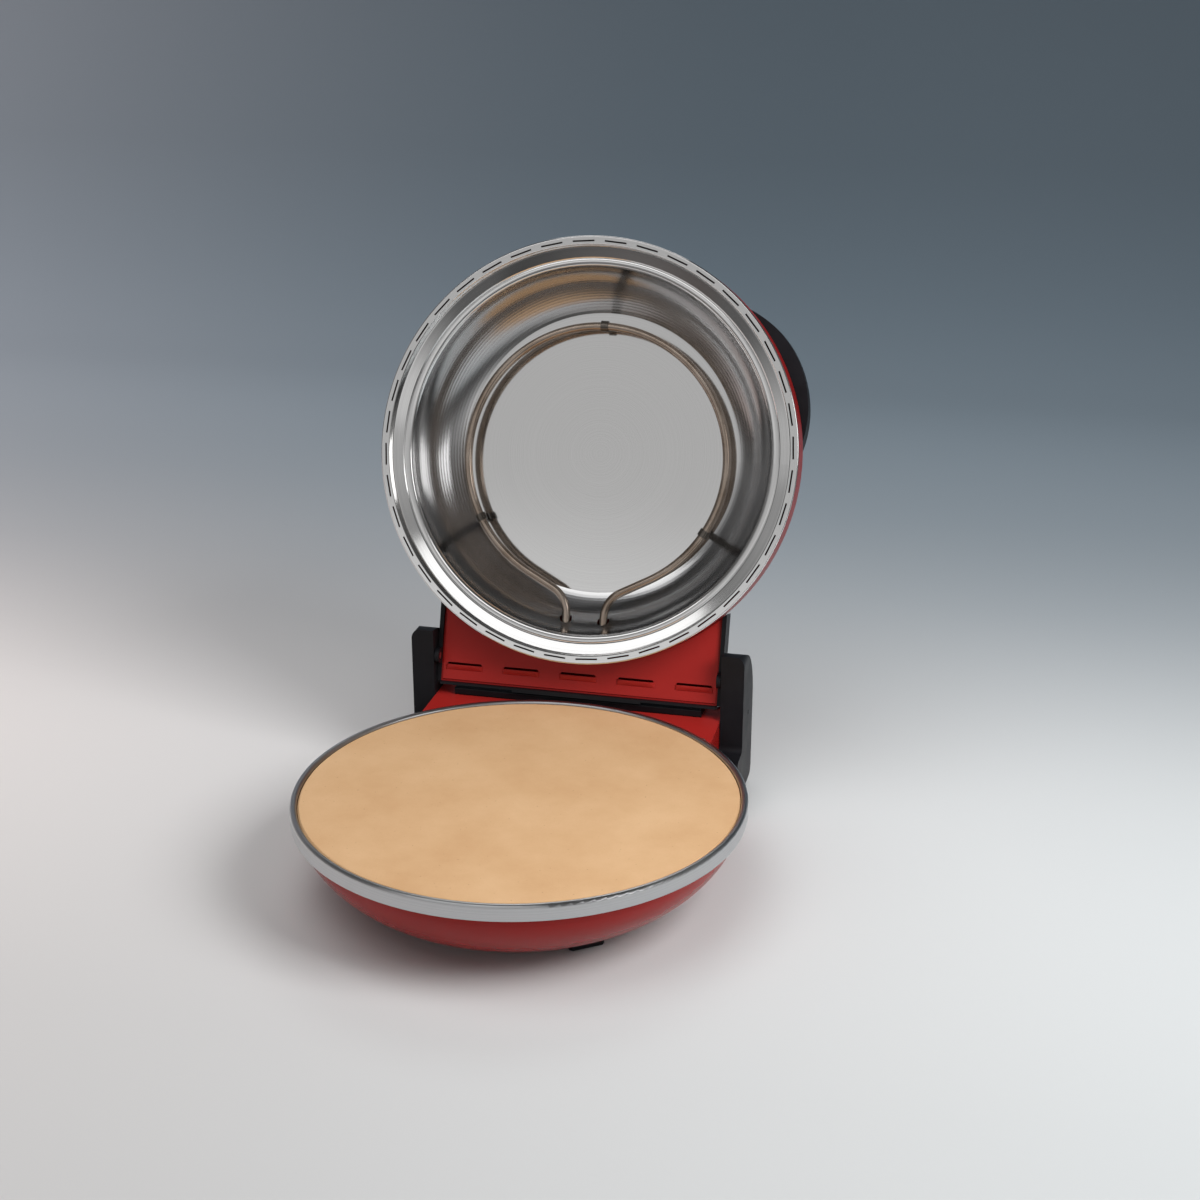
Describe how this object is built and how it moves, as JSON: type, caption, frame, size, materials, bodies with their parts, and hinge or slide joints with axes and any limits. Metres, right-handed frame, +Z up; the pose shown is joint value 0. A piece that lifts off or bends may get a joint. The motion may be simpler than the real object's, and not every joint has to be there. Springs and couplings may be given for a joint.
{
  "type": "electric pizza maker",
  "caption": "Round countertop electric pizza maker: a stone set flush in a shallow red bowl and a domed lid, hinged at the back, that carries the upper heating element and the controls.",
  "frame": {"origin": "centre of the baking stone's top face", "axes": "+Z up, square to the stone; -Y to the front, where the lid's handle comes down when it is shut; +Y to the hinge; +X to the right seen from the front, along the hinge axis"},
  "size_m": [0.347, 0.5157, 0.4489],
  "materials": {
    "red_enamel": "glossy",
    "bright_steel": "polished",
    "brushed_rim": "brushed",
    "plain_steel": "satin",
    "element_sheath": "satin",
    "black_plastic": "satin",
    "black_knob": "satin",
    "pad_rubber": "matte",
    "baking_stone": "matte",
    "bush_ceramic": "matte",
    "glass_wool": "matte",
    "lamp_lens": "glossy"
  },
  "bodies": {
    "base": {"base_shell": "red_enamel", "rim_band": "brushed_rim", "rim_clips": "plain_steel", "heat_dish": "plain_steel", "pizza_stone": "baking_stone", "lower_element": "element_sheath", "lower_element_clips": "plain_steel", "lower_element_collars": "bush_ceramic", "rear_deck": "red_enamel", "deck_screws": "plain_steel", "hinge_bar": "black_plastic", "hinge_cheek_left": "black_plastic", "hinge_cheek_right": "black_plastic", "cheek_screws": "plain_steel", "hinge_pin_left": "plain_steel", "hinge_pin_right": "plain_steel", "front_feet": "black_plastic", "rear_feet": "black_plastic", "foot_pads": "pad_rubber", "foot_screws": "plain_steel", "cable_gland": "black_plastic", "terminal_block": "bush_ceramic"},
    "lid": {"lid_shell": "red_enamel", "lid_liner": "bright_steel", "upper_element": "element_sheath", "upper_element_clips": "plain_steel", "upper_element_collars": "plain_steel", "insulation_pad": "glass_wool", "tail_vent_plate": "red_enamel", "tail_trim": "black_plastic", "lid_arm_left": "black_plastic", "lid_arm_right": "black_plastic", "arm_screws": "plain_steel", "control_housing": "black_plastic", "lid_handle": "black_plastic", "timer_body": "plain_steel", "thermostat_body": "plain_steel", "dial_rings": "plain_steel", "pilot_lamps": "lamp_lens"},
    "timer": {"timer_knob": "black_knob", "timer_spindle": "plain_steel"},
    "thermostat": {"thermostat_knob": "black_knob", "thermostat_spindle": "plain_steel"}
  },
  "joints": [
    {"name": "lid_hinge", "type": "hinge", "parent": "base", "child": "lid", "pos_m": [0, 0.1785, 0.0285], "axis": [1, 0, 0], "range_deg": [0, 108]},
    {"name": "timer_turn", "type": "hinge", "parent": "lid", "child": "timer", "pos_m": [-0.088, 0.32156, 0.21702], "axis": [0, 0.9511, -0.309], "range_deg": [-300, 0]},
    {"name": "thermostat_turn", "type": "hinge", "parent": "lid", "child": "thermostat", "pos_m": [0.088, 0.32156, 0.21702], "axis": [0, 0.9511, -0.309], "range_deg": [-270, 0]}
  ]
}
